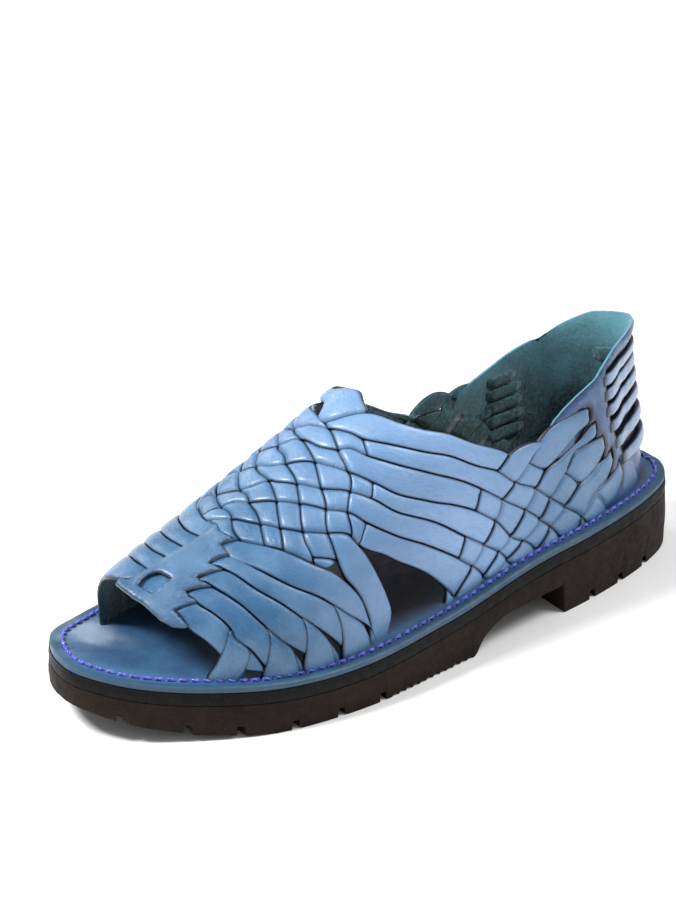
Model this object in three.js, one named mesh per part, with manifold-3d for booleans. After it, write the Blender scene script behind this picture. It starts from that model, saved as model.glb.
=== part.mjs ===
// Left huarache sandal. Millimetres, +Z up, toe towards -Y, lateral (outer) side towards +X.
// The origin is on the floor under the middle of the sole's bounding box.
// "toe" in every table is the distance back from the toe tip, so y = toe - LENGTH / 2.

import * as THREE from "three";
import { mergeVertices } from "three/addons/utils/BufferGeometryUtils.js";
import Module from "manifold-3d";

const wasm = await Module();
wasm.setup();

// Driving sizes.
const LENGTH = 290;
const AXIS_X = -1.25;
const GAP = 0.3;
const INSOLE_THICK = 2.7;
const MIDSOLE_THICK = 5.2;
const WEAVE_WALL = 3.6;
const COUNTER_WALL = 2.2;
const PLATE_WALL = 2.0;
const PLATE_PROUD = 0.6;
const BAND_GAP = 0.6;
const BAND_THICK = 1.8;
const BAND_WIDTH = 6.6;
const ROUNDNESS = 2.15;
const BELLY = 0.05;
const GROOVE_WIDE = 3;
const GROOVE_DEEP = 3.5;

// Sole outline: half widths about the axis of the sole.
const SOLE_ROWS = [
  { toe: 9, lateral: 17, medial: 26 },
  { toe: 29, lateral: 31.5, medial: 38.5 },
  { toe: 64, lateral: 48, medial: 48 },
  { toe: 104, lateral: 52.5, medial: 49 },
  { toe: 145, lateral: 48, medial: 37.5 },
  { toe: 186, lateral: 42, medial: 31 },
  { toe: 232, lateral: 35, medial: 34 },
  { toe: 267, lateral: 24.5, medial: 31 },
  { toe: 284, lateral: 14, medial: 17 },
];

// Where the outer face of the upper meets the insole.
const FOOT_ROWS = [
  { toe: 12, lateral: 15, medial: 13.5 },
  { toe: 26, lateral: 25, medial: 24 },
  { toe: 44, lateral: 33, medial: 32 },
  { toe: 62, lateral: 41.5, medial: 38.5 },
  { toe: 80, lateral: 45.5, medial: 41.5 },
  { toe: 100, lateral: 45.5, medial: 41 },
  { toe: 129, lateral: 42, medial: 35 },
  { toe: 160, lateral: 38, medial: 28.5 },
  { toe: 191, lateral: 35.5, medial: 27 },
  { toe: 214, lateral: 33, medial: 29 },
  { toe: 236, lateral: 28.5, medial: 30.5 },
  { toe: 257, lateral: 21.5, medial: 27.5 },
  { toe: 274, lateral: 12, medial: 19.5 },
];
const FOOT_TOE = { toe: 4, x: 0 };
const FOOT_HEEL = { toe: 283.5, x: -4 };

// Top of the rubber, with the toe spring at one end and the raised heel at the other.
const RUBBER_TOP = [
  { toe: 0, z: 27.2 },
  { toe: 35, z: 21 },
  { toe: 93, z: 18 },
  { toe: 145, z: 20.5 },
  { toe: 209, z: 28 },
  { toe: 250, z: 28.8 },
  { toe: 290, z: 29 },
];

// Underside: toe spring, flat tread, waist, then the heel block behind its breast.
const TREAD_FRONT = [
  { toe: 0, z: 13.5 },
  { toe: 20, z: 7 },
  { toe: 40, z: 2.6 },
  { toe: 64, z: 0 },
];
const WAIST_FRONT = 162;
const WAIST = [
  { toe: 162, z: 0 },
  { toe: 168, z: 7.5 },
  { toe: 180, z: 12 },
  { toe: 212, z: 13 },
];
const BREAST = 212;
const HEEL_BEVEL_FROM = 276;
const HEEL_BEVEL_RISE = 3;

// The last: ridge line over the foot and how high it rises above the insole.
const LAST_ROWS = [
  { toe: 0, ridge: -1, rise: 24 },
  { toe: 20, ridge: -2, rise: 29 },
  { toe: 45, ridge: -3.5, rise: 37.5 },
  { toe: 70, ridge: -4.5, rise: 46 },
  { toe: 95, ridge: -5, rise: 59 },
  { toe: 120, ridge: -6, rise: 73 },
  { toe: 145, ridge: -6, rise: 86.5 },
  { toe: 172, ridge: -5.5, rise: 98 },
  { toe: 200, ridge: -5, rise: 105 },
  { toe: 240, ridge: -4, rise: 106 },
  { toe: 290, ridge: -4, rise: 104 },
];

// Curve of the back of the heel: how far it stands behind the heel seat at each height.
const HEEL_BACK = [
  { up: 0, back: 0 },
  { up: 12, back: 2 },
  { up: 25, back: 2.4 },
  { up: 45, back: 0.2 },
  { up: 60, back: -3 },
  { up: 80, back: -8 },
];
const HEEL_LEAN_FROM = 215;
const HEEL_LEAN_FULL = 280;

// Top line of the upper seen from each side, from the throat back to the heel.
const COLLAR_LATERAL = [
  { toe: 137, z: 104 },
  { toe: 143, z: 99 },
  { toe: 152, z: 96 },
  { toe: 161, z: 92 },
  { toe: 172, z: 86 },
  { toe: 182, z: 80.5 },
  { toe: 190, z: 75.5 },
  { toe: 197, z: 74.5 },
  { toe: 205, z: 77 },
  { toe: 214, z: 80 },
  { toe: 218, z: 85 },
  { toe: 227, z: 87 },
  { toe: 239, z: 90 },
  { toe: 262, z: 95.5 },
  { toe: 300, z: 97.5 },
];
const COLLAR_MEDIAL = [
  { toe: 137, z: 104 },
  { toe: 146, z: 96 },
  { toe: 155, z: 87 },
  { toe: 166, z: 77 },
  { toe: 180, z: 70.5 },
  { toe: 193, z: 71.5 },
  { toe: 209, z: 75 },
  { toe: 225, z: 79 },
  { toe: 240, z: 83.5 },
  { toe: 258, z: 90 },
  { toe: 300, z: 97.5 },
];

// Open waist of the weave on each side, between the vamp and the long straps.
const SIDE_WINDOW = [
  { toe: 112, z: 61 },
  { toe: 118, z: 50 },
  { toe: 122, z: 39 },
  { toe: 124, z: 30 },
  { toe: 129, z: 12 },
  { toe: 156, z: 12 },
  { toe: 155, z: 27 },
  { toe: 143, z: 39.5 },
  { toe: 128, z: 51.5 },
];

// Front edge of the upper, seen from above, from the lateral foot over to the medial foot.
const TOE_EDGE = [
  { toe: 43, x: 60 },
  { toe: 43, x: 34 },
  { toe: 37, x: 25 },
  { toe: 32, x: 20 },
  { toe: 28, x: 13 },
  { toe: 26, x: 3 },
  { toe: 26, x: -9 },
  { toe: 29, x: -20 },
  { toe: 35, x: -31 },
  { toe: 35, x: -60 },
];

// Smooth plate over the toes, seen from above.
const PLATE_EDGE = [
  { toe: 20, x: 29 },
  { toe: 36, x: 25.5 },
  { toe: 43, x: 19 },
  { toe: 57, x: 14 },
  { toe: 67, x: 9 },
  { toe: 72, x: 12 },
  { toe: 70, x: 3 },
  { toe: 70, x: -7 },
  { toe: 74, x: -16 },
  { toe: 67, x: -17 },
  { toe: 57, x: -24 },
  { toe: 43, x: -30 },
  { toe: 34, x: -34 },
  { toe: 20, x: -36 },
];

// Front edge of the heel counter, seen from each side.
const COUNTER_LATERAL = [
  { toe: 214, z: 110 },
  { toe: 214, z: 79 },
  { toe: 221, z: 68 },
  { toe: 229, z: 57 },
  { toe: 238, z: 45 },
  { toe: 244, z: 30 },
  { toe: 244, z: 10 },
];
const COUNTER_MEDIAL = [
  { toe: 208, z: 110 },
  { toe: 208, z: 77 },
  { toe: 213, z: 66 },
  { toe: 219, z: 55 },
  { toe: 226, z: 45 },
  { toe: 231, z: 36 },
  { toe: 231, z: 10 },
];
const COUNTER_ARCH = [
  { toe: 229, z: 12 },
  { toe: 229, z: 35 },
  { toe: 237, z: 39 },
  { toe: 249, z: 40 },
  { toe: 258, z: 38 },
  { toe: 263, z: 33 },
  { toe: 264, z: 12 },
];

// Six bands lashed round the back of the heel: height at their ends and rise to the middle.
const BANDS = [
  { end: 86, rise: 5 },
  { end: 79, rise: 5 },
  { end: 71.5, rise: 5 },
  { end: 64, rise: 5 },
  { end: 55.5, rise: 6 },
  { end: 46.5, rise: 7 },
];
const BAND_FROM = 261;
const BAND_TO = 361;
const BAND_STEPS = 18;

// A smooth curve through one column of a table.
function fair(rows, toe, column) {
  const key = "toe" in rows[0] ? "toe" : "up";
  const last = rows.length - 1;
  const at = THREE.MathUtils.clamp(toe, rows[0][key], rows[last][key]);
  let i = 0;
  while (i < last - 1 && at > rows[i + 1][key]) i += 1;
  const slope = (a, b) => (rows[b][column] - rows[a][column]) / (rows[b][key] - rows[a][key]);
  const here = slope(i, i + 1);
  const blend = (side) => (side * here > 0 ? (2 * side * here) / (side + here) : 0);
  const start = i > 0 ? blend(slope(i - 1, i)) : here;
  const end = i < last - 1 ? blend(slope(i + 1, i + 2)) : here;
  const span = rows[i + 1][key] - rows[i][key];
  const f = (at - rows[i][key]) / span;
  const rest = 1 - f;
  return rows[i][column] * (1 + 2 * f) * rest * rest
    + rows[i + 1][column] * f * f * (3 - 2 * f)
    + span * f * rest * (start * rest - end * f);
}

const rubberTop = (toe) => fair(RUBBER_TOP, toe, "z");
const insoleTop = (toe) => rubberTop(toe) + GAP + INSOLE_THICK;

// A closed outline: toe point, lateral rows, heel point, then medial rows back to the toe.
function outline(rows, toeEnd, heelEnd) {
  const points = [new THREE.Vector3(toeEnd.x, toeEnd.toe, 0)];
  rows.forEach((row) => points.push(new THREE.Vector3(row.lateral, row.toe, 0)));
  points.push(new THREE.Vector3(heelEnd.x, heelEnd.toe, 0));
  [...rows].reverse().forEach((row) => points.push(new THREE.Vector3(-row.medial, row.toe, 0)));
  const curve = new THREE.CatmullRomCurve3(points, true, "centripetal");
  curve.arcLengthDivisions = 900;
  return curve;
}

const soleCurve = outline(SOLE_ROWS, { toe: 0, x: -1 }, { toe: LENGTH, x: -1 });
const footCurve = outline(FOOT_ROWS, FOOT_TOE, FOOT_HEEL);
const FOOT_GIRTH = footCurve.getLength();

// Half width of the sole on one side at a distance from the toe.
const soleSamples = soleCurve.getSpacedPoints(1200);
const heelSample = soleSamples.reduce((best, point, i) => (point.y > soleSamples[best].y ? i : best), 0);
const toeSample = soleSamples.reduce((best, point, i) => (point.y < soleSamples[best].y ? i : best), 0);
function soleEdge(toe, lateral) {
  const count = soleSamples.length - 1;
  const step = lateral ? 1 : -1;
  let i = toeSample;
  while (i !== heelSample && soleSamples[(i + step + count) % count].y < toe) {
    i = (i + step + count) % count;
  }
  const a = soleSamples[i];
  const b = soleSamples[(i + step + count) % count];
  const f = b.y > a.y ? THREE.MathUtils.clamp((toe - a.y) / (b.y - a.y), 0, 1) : 0;
  return a.x + (b.x - a.x) * f;
}

// A point of the last: "along" runs round the foot of the upper from the toe by the lateral
// side, and "angle" climbs from the insole (0) to the ridge (90 degrees).
function lastPoint(along, angle) {
  const share = THREE.MathUtils.euclideanModulo(along / FOOT_GIRTH, 1);
  const foot = footCurve.getPointAt(share);
  const turn = THREE.MathUtils.degToRad(angle);
  const ridge = fair(LAST_ROWS, foot.y, "ridge");
  const inward = Math.cos(turn) ** (2 / ROUNDNESS) + BELLY * Math.sin(2 * turn);
  const up = fair(LAST_ROWS, foot.y, "rise") * Math.sin(turn) ** (2 / ROUNDNESS);
  const lean = THREE.MathUtils.smoothstep(foot.y, HEEL_LEAN_FROM, HEEL_LEAN_FULL);
  const x = ridge + (foot.x - ridge) * inward;
  const y = foot.y + lean * fair(HEEL_BACK, up, "back");
  return new THREE.Vector3(x + AXIS_X, y - LENGTH / 2, insoleTop(foot.y) + up);
}

// The same point moved out (or in) along the surface's own normal.
function skin(along, angle, off) {
  const point = lastPoint(along, angle);
  const step = 0.5;
  const round = lastPoint(along + step, angle).sub(lastPoint(along - step, angle));
  const climb = lastPoint(along, Math.min(angle + step, 89.5)).sub(lastPoint(along, angle - step));
  if (angle < step) climb.set(0, 0, 1);
  const normal = round.cross(climb).normalize();
  return point.addScaledVector(normal, off);
}

// The angle at which the last stands at a height above the floor.
function angleAt(along, z) {
  const foot = footCurve.getPointAt(THREE.MathUtils.euclideanModulo(along / FOOT_GIRTH, 1));
  const up = (z - insoleTop(foot.y)) / fair(LAST_ROWS, foot.y, "rise");
  return THREE.MathUtils.radToDeg(Math.asin(THREE.MathUtils.clamp(up, 0, 1) ** (ROUNDNESS / 2)));
}

// Solids and meshes.
function solid(geometry) {
  geometry.deleteAttribute("normal");
  geometry.deleteAttribute("uv");
  const merged = mergeVertices(geometry, 1e-4);
  const made = new wasm.Manifold(new wasm.Mesh({
    numProp: 3,
    vertProperties: new Float32Array(merged.attributes.position.array),
    triVerts: new Uint32Array(merged.index.array),
  }));
  return made;
}

function geometryOf(made) {
  const mesh = made.getMesh();
  const geometry = new THREE.BufferGeometry();
  geometry.setAttribute("position", new THREE.BufferAttribute(mesh.vertProperties, 3));
  geometry.setIndex(new THREE.BufferAttribute(mesh.triVerts, 1));
  geometry.computeVertexNormals();
  return geometry;
}

function fromRings(rings, capStart, capEnd) {
  const wide = rings[0].length;
  const positions = rings.flat().flatMap((point) => [point.x, point.y, point.z]);
  const index = [];
  for (let r = 0; r < rings.length - 1; r += 1) {
    for (let c = 0; c < wide; c += 1) {
      const a = r * wide + c;
      const b = r * wide + ((c + 1) % wide);
      index.push(a, b, b + wide, a, b + wide, a + wide);
    }
  }
  const top = (rings.length - 1) * wide;
  capStart(wide).forEach(([a, b, c]) => index.push(a, c, b));
  capEnd(wide).forEach(([a, b, c]) => index.push(top + a, top + b, top + c));
  const geometry = new THREE.BufferGeometry();
  geometry.setAttribute("position", new THREE.Float32BufferAttribute(positions, 3));
  geometry.setIndex(index);
  return geometry;
}

// A cap that joins the two long sides of a ring straight across.
function acrossCap(wide) {
  const triangles = [];
  for (let j = 0; j < wide / 2; j += 1) {
    const far = (wide - j) % wide;
    const farNext = wide - j - 1;
    if (j > 0) triangles.push([j, farNext, far]);
    if (j + 1 < wide / 2) triangles.push([j, j + 1, farNext]);
  }
  return triangles;
}

// The whole last as one closed form, its face moved by "off" and its foot by "drop".
const COLUMNS = 104;
const CLIMB = [0, 7, 14, 22, 30, 38, 46, 54, 62, 70, 78, 84, 88];
function lastForm(off, drop) {
  const ring = (angle, lift) => Array.from({ length: COLUMNS }, (_, c) => {
    const point = skin((c / COLUMNS) * FOOT_GIRTH, angle, off);
    point.z += lift;
    return point;
  });
  const rings = CLIMB.map((angle, i) => ring(angle, i === 0 ? GAP : 0));
  if (drop > 0) rings.unshift(ring(0, -drop));
  return solid(fromRings(rings, acrossCap, acrossCap));
}

const wall = (outer, inner) => lastForm(outer, 0).subtract(lastForm(inner, 8));

// Prisms that cut the last's outline, one seen from the side and one seen from above.
const BASIS_X = new THREE.Matrix4().makeBasis(
  new THREE.Vector3(0, 1, 0),
  new THREE.Vector3(0, 0, 1),
  new THREE.Vector3(1, 0, 0),
);
function sidePrism(rows, xFrom, xTo, shift = 0) {
  const points = rows.map((row) => new THREE.Vector2(row.toe + shift - LENGTH / 2, row.z));
  const options = { depth: xTo - xFrom, bevelEnabled: false };
  const geometry = new THREE.ExtrudeGeometry(new THREE.Shape(points), options);
  geometry.applyMatrix4(BASIS_X);
  geometry.translate(xFrom, 0, 0);
  return solid(geometry);
}

function planPrism(rows, zFrom, zTo) {
  const points = rows.map((row) => new THREE.Vector2(row.x + AXIS_X, row.toe - LENGTH / 2));
  const options = { depth: zTo - zFrom, bevelEnabled: false };
  const geometry = new THREE.ExtrudeGeometry(new THREE.Shape(points), options);
  geometry.translate(0, 0, zFrom);
  return solid(geometry);
}

const RIDGE_X = -6;
const OUT = 70;
const HIGH = 160;
const lateralPrism = (rows, shift) => sidePrism(rows, RIDGE_X, OUT, shift);
const medialPrism = (rows, shift) => sidePrism(rows, -OUT, RIDGE_X, shift);

const above = (rows) => [...rows, { toe: 300, z: HIGH }, { toe: rows[0].toe, z: HIGH }];
const behind = (rows) => [...rows, { toe: 310, z: 10 }, { toe: 310, z: 110 }];
const collarSpace = lateralPrism(above(COLLAR_LATERAL)).add(medialPrism(above(COLLAR_MEDIAL)));
const toeSpace = planPrism([...TOE_EDGE, { toe: -20, x: -60 }, { toe: -20, x: 60 }], 10, HIGH);
const windows = sidePrism(SIDE_WINDOW, -OUT, OUT);
const arch = medialPrism(COUNTER_ARCH);

function counterZone(shift) {
  return lateralPrism(behind(COUNTER_LATERAL), shift).add(medialPrism(behind(COUNTER_MEDIAL), shift));
}

// The plate's edge drawn out by a margin from the middle of the plate.
function plateZone(margin) {
  const middle = { toe: 48, x: -4 };
  const grown = PLATE_EDGE.map((row) => {
    const away = new THREE.Vector2(row.x - middle.x, row.toe - middle.toe);
    const reach = away.length();
    away.multiplyScalar((reach + margin) / reach);
    return { x: middle.x + away.x, toe: middle.toe + away.y };
  });
  return planPrism(grown, 30, HIGH);
}

function largest(made) {
  const pieces = made.decompose();
  return pieces.reduce((best, piece) => (piece.volume() > best.volume() ? piece : best));
}

// Woven wall: vamp, fan straps, long side straps and rear checker in one.
function upperSolid() {
  const plateBed = wall(PLATE_PROUD + 1, -(PLATE_WALL - PLATE_PROUD) - GAP).intersect(plateZone(GAP));
  const cuts = [collarSpace, toeSpace, windows, counterZone(-GAP - 0.05), plateBed];
  return largest(cuts.reduce((made, cut) => made.subtract(cut), wall(0, -WEAVE_WALL)));
}

function plateSolid() {
  const skinned = wall(PLATE_PROUD, PLATE_PROUD - PLATE_WALL);
  return largest(skinned.intersect(plateZone(0)).subtract(toeSpace));
}

function counterSolid() {
  const cupped = wall(0, -COUNTER_WALL).intersect(counterZone(0));
  return largest(cupped.subtract(collarSpace).subtract(arch));
}

// One band: a flat strip on the outside of the counter.
function bandGeometry({ end, rise }) {
  const rings = Array.from({ length: BAND_STEPS + 1 }, (_, i) => {
    const share = i / BAND_STEPS;
    const along = BAND_FROM + (BAND_TO - BAND_FROM) * share;
    const middle = end + rise * Math.sqrt(Math.sin(Math.PI * share));
    const low = angleAt(along, middle - BAND_WIDTH / 2);
    const high = angleAt(along, middle + BAND_WIDTH / 2);
    return [
      skin(along, low, BAND_GAP),
      skin(along, high, BAND_GAP),
      skin(along, high, BAND_GAP + BAND_THICK),
      skin(along, low, BAND_GAP + BAND_THICK),
    ];
  });
  const cap = () => [[0, 1, 2], [0, 2, 3]];
  return geometryOf(solid(fromRings(rings, cap, cap)));
}

// Sole layers: one ring of four corners at each station along the sole.
const STATIONS = [
  0.1, 2, 5, 9, 14, 20, 27, 35, 44, 54, 64, 76, 88, 100, 112, 124, 136, 148, 158, 162, 165, 168,
  173, 180, 190, 200, 211.9, 212.1, 222, 232, 242, 252, 260, 267, 273, 278, 282, 285.5, 288, 289.9,
];
function layer(under, over, inset) {
  const rings = STATIONS.map((toe) => {
    const lateral = soleEdge(toe, true) + AXIS_X - inset;
    const medial = soleEdge(toe, false) + AXIS_X + inset;
    const y = (toe - LENGTH / 2) * (1 - (2 * inset) / LENGTH);
    return [
      new THREE.Vector3(lateral, y, under(toe)),
      new THREE.Vector3(medial, y, under(toe)),
      new THREE.Vector3(medial, y, over(toe)),
      new THREE.Vector3(lateral, y, over(toe)),
    ];
  });
  const cap = () => [[0, 1, 2], [0, 2, 3]];
  return fromRings(rings, cap, cap);
}

function treadBottom(toe) {
  if (toe < TREAD_FRONT[3].toe) return fair(TREAD_FRONT, toe, "z");
  if (toe < WAIST_FRONT) return 0;
  if (toe < BREAST) return fair(WAIST, toe, "z");
  const back = Math.max(0, (toe - HEEL_BEVEL_FROM) / (LENGTH - HEEL_BEVEL_FROM));
  return HEEL_BEVEL_RISE * back * back;
}

// Lug grooves run in from the edge of the tread, square to it.
const GROOVE_STATIONS = [
  { toe: 12, length: 15 },
  { toe: 33, length: 15 },
  { toe: 51, length: 15 },
  { toe: 72, length: 15 },
  { toe: 92, length: 15 },
  { toe: 112, length: 15 },
  { toe: 126, length: 15 },
  { toe: 140, length: 14 },
  { toe: 153, length: 14 },
  { toe: 229, length: 14 },
  { toe: 247, length: 14 },
  { toe: 264, length: 12 },
];
function groove({ toe, length }, lateral) {
  const ahead = soleEdge(toe + 1, lateral);
  const here = soleEdge(toe, lateral);
  const behindHere = soleEdge(toe - 1, lateral);
  const inward = new THREE.Vector2(-2, ahead - behindHere);
  if (!lateral) inward.negate();
  const box = new THREE.BoxGeometry(2 * length, GROOVE_WIDE, 2 * GROOVE_DEEP);
  box.rotateZ(Math.atan2(inward.y, inward.x));
  box.translate(here + AXIS_X, toe - LENGTH / 2, treadBottom(toe));
  return solid(box);
}

function outsoleSolid() {
  const top = (toe) => rubberTop(toe) - MIDSOLE_THICK - GAP;
  let made = solid(layer(treadBottom, top, 0));
  GROOVE_STATIONS.forEach((row) => {
    made = made.subtract(groove(row, true)).subtract(groove(row, false));
  });
  return made;
}

const midsoleGeometry = () => layer((toe) => rubberTop(toe) - MIDSOLE_THICK, rubberTop, 0.1);
const insoleGeometry = () => layer((toe) => rubberTop(toe) + GAP, insoleTop, 0.4);

const brownRubber = new THREE.MeshStandardMaterial({ color: 0x352a25, roughness: 0.75, metalness: 0 });
const blackRubber = new THREE.MeshStandardMaterial({ color: 0x1e1814, roughness: 0.7, metalness: 0 });
const insoleLeather = new THREE.MeshStandardMaterial({ color: 0x2d4b78, roughness: 0.5, metalness: 0 });
const strapLeather = new THREE.MeshStandardMaterial({ color: 0x5f87b9, roughness: 0.42, metalness: 0 });
const plateLeather = new THREE.MeshStandardMaterial({ color: 0x5280b0, roughness: 0.4, metalness: 0 });

const sandal = new THREE.Group();
function place(name, geometry, material) {
  const mesh = new THREE.Mesh(geometry, material);
  mesh.name = name;
  sandal.add(mesh);
}

place("outsole", geometryOf(outsoleSolid()), brownRubber);
place("midsole", geometryOf(solid(midsoleGeometry())), blackRubber);
place("insole", geometryOf(solid(insoleGeometry())), insoleLeather);
place("upper", geometryOf(upperSolid()), strapLeather);
place("vamp_plate", geometryOf(plateSolid()), plateLeather);
place("heel_counter", geometryOf(counterSolid()), plateLeather);
BANDS.forEach((band, i) => place(`heel_band_${i + 1}`, bandGeometry(band), strapLeather));

export default sandal;
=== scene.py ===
import math

import bmesh
import bpy
import numpy as np
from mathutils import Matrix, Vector
from mathutils.geometry import delaunay_2d_cdt


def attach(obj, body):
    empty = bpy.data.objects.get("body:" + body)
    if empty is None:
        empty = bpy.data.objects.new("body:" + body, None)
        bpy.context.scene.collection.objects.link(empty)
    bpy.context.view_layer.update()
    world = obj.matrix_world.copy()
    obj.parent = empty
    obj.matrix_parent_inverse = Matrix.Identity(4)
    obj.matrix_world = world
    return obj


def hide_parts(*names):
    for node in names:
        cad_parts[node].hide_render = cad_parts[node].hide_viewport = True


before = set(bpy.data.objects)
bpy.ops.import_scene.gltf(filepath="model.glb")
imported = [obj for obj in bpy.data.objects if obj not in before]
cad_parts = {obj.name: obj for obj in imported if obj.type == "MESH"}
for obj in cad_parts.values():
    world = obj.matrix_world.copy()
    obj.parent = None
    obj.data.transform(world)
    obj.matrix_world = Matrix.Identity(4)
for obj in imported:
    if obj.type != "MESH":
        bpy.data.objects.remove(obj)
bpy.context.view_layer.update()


# --- Outsole ---
# One moulded block of brown rubber with a heel, thin under the waist. Lug grooves are moulded
# in from its edge, and it is glued under the midsole.
LENGTH = 290
AXIS_X = -1.25
SOLE_ROWS = [
    (9, 17, 26), (29, 31.5, 38.5), (64, 48, 48), (104, 52.5, 49), (145, 48, 37.5),
    (186, 42, 31), (232, 35, 34), (267, 24.5, 31), (284, 14, 17),
]
SOLE_TOE = (-1, 0)
SOLE_HEEL = (-1, 290)
RUBBER_TOP = [(0, 27.2), (35, 21), (93, 18), (145, 20.5), (209, 28), (250, 28.8), (290, 29)]
TREAD_FRONT = [(0, 13.5), (20, 7), (40, 2.6), (64, 0)]
WAIST = [(162, 0), (168, 7.5), (180, 12), (212, 13)]
BREAST = 212
LUG_GROOVES = [12, 33, 51, 72, 92, 112, 229, 247, 264]
GROOVE_DEEP = 3.8
GROOVE_HALF = 1.75
GROOVE_FLANK = 0.4
GROOVE_IN = 15
LUG_TEETH = [(118 + 3.7 * i, 1.1 + 0.9 * ((i * 7) % 4) / 3) for i in range(12)]
TEETH_IN = 11
SPINE = (46, 246)
SPINE_X = -1.0
MIDSOLE_THICK = 5.2
GAP = 0.3


def fair(rows, at):
    """A smooth curve through a table of (where, value), without overshoot."""
    x, value = np.array(rows, float).T[:2]
    at = np.clip(np.asarray(at, float), x[0], x[-1])
    i = np.clip(np.searchsorted(x, at) - 1, 0, len(x) - 2)
    slope = np.diff(value) / np.diff(x)
    before, after = slope[:-1], slope[1:]
    both = np.where(before + after == 0, 1, before + after)
    inner = np.where(before * after > 0, 2 * before * after / both, 0)
    tangent = np.concatenate([slope[:1], inner, slope[-1:]])
    span = x[i + 1] - x[i]
    f = (at - x[i]) / span
    g = 1 - f
    start = value[i] * (1 + 2 * f) * g * g
    end = value[i + 1] * f * f * (3 - 2 * f)
    return start + end + span * f * g * (tangent[i] * g - tangent[i + 1] * f)


def length_to(line):
    """Length along a line up to each of its points."""
    return np.concatenate([[0], np.cumsum(np.linalg.norm(np.diff(line, axis=0), axis=1))])


def spline(points, closed=False, steps=24):
    """Centripetal curve through points: dense points and the length up to each."""
    p = np.array(points, float)
    if closed:
        p = np.vstack([p[-1:], p, p[:2]])
    else:
        p = np.vstack([2 * p[0] - p[1], p, 2 * p[-1] - p[-2]])
    f = np.linspace(0, 1, steps, endpoint=False)[:, None]
    dense = []
    for a, b, c, d in zip(p, p[1:], p[2:], p[3:]):
        ab, bc, cd = (max(np.linalg.norm(v) ** 0.5, 1e-4) for v in (b - a, c - b, d - c))
        leave = ((b - a) / ab - (c - a) / (ab + bc) + (c - b) / bc) * bc
        arrive = ((c - b) / bc - (d - b) / (bc + cd) + (d - c) / cd) * bc
        square = -3 * b + 3 * c - 2 * leave - arrive
        cube = 2 * b - 2 * c + leave + arrive
        dense.append(b + leave * f + square * f**2 + cube * f**3)
    dense = np.vstack([*dense, p[-2:-1]])
    return dense, length_to(dense)


def outline(rows, toe_end, heel_end):
    """Closed line round a sole or foot, from the toe by the lateral side."""
    lateral = [(row[1], row[0]) for row in rows]
    medial = [(-row[2], row[0]) for row in rows[::-1]]
    return spline([toe_end, *lateral, heel_end, *medial], closed=True, steps=40)


sole_line, _ = outline(SOLE_ROWS, SOLE_TOE, SOLE_HEEL)
sole_turn = int(np.argmax(sole_line[:, 1]))


def sole_edge(toe, lateral):
    """How far out the sole's edge lies at a distance from the toe."""
    side = sole_line[:sole_turn + 1] if lateral else sole_line[sole_turn:][::-1]
    order = np.argsort(side[:, 1])
    return np.interp(toe, side[order, 1], side[order, 0])


def edge_round(toes):
    """Points round the sole's edge, back along the lateral side and forward along the medial."""
    x = np.concatenate([sole_edge(toes, True), sole_edge(toes, False)[-2:0:-1]])
    return np.stack([x, np.concatenate([toes, toes[-2:0:-1]])], 1)


def in_scene(name, data):
    """A new object in the scene."""
    made = bpy.data.objects.new(name, data)
    bpy.context.scene.collection.objects.link(made)
    return made


def solid(name, points, faces, paints, stands_for=(), paint_index=None, marks=None, sharp=38):
    """One closed piece from points in millimetres, smooth but for its sharp edges."""
    mesh = bpy.data.meshes.new(name)
    mesh.from_pydata((np.asarray(points) / 1000).tolist(), [], [list(f) for f in faces])
    for paint in paints:
        mesh.materials.append(paint)
    if paint_index is not None:
        mesh.polygons.foreach_set("material_index", np.asarray(paint_index, np.int32))
    for key, values in (marks or {}).items():
        values = np.asarray(values, np.float32)
        kind = "FLOAT" if values.ndim == 1 else "FLOAT_VECTOR"
        field = "value" if values.ndim == 1 else "vector"
        mesh.attributes.new(key, kind, "POINT").data.foreach_set(field, values.ravel())
    work = bmesh.new()
    work.from_mesh(mesh)
    bmesh.ops.remove_doubles(work, verts=work.verts, dist=2e-7)
    bmesh.ops.recalc_face_normals(work, faces=work.faces)
    work.to_mesh(mesh)
    work.free()
    mesh.polygons.foreach_set("use_smooth", [True] * len(mesh.polygons))
    mesh.set_sharp_from_angle(angle=math.radians(sharp))
    made = in_scene(name, mesh)
    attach(made, "root")
    if stands_for:
        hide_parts(*stands_for)
    return made


def stations(extra=()):
    """Distances from the toe at which a sole layer has a row of points."""
    even = (1 - np.cos(np.linspace(0, np.pi, 331))) / 2 * LENGTH
    flank = GROOVE_HALF - GROOVE_FLANK
    near = [g + d for g in extra for d in (-GROOVE_HALF, -flank, flank, GROOVE_HALF)]
    rows = np.unique(np.round(np.concatenate([even, near]), 3))
    keep = np.concatenate([[True], np.diff(rows) > 0.12])
    return rows[keep]


# Rings of points on a sole layer, as shares of the way from its edge to the spine.
DEPTHS = np.array([0, 0.02, 0.045, 0.08, 0.14, 0.22, 0.34, 0.5, 0.7, 0.86, 1])


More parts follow.
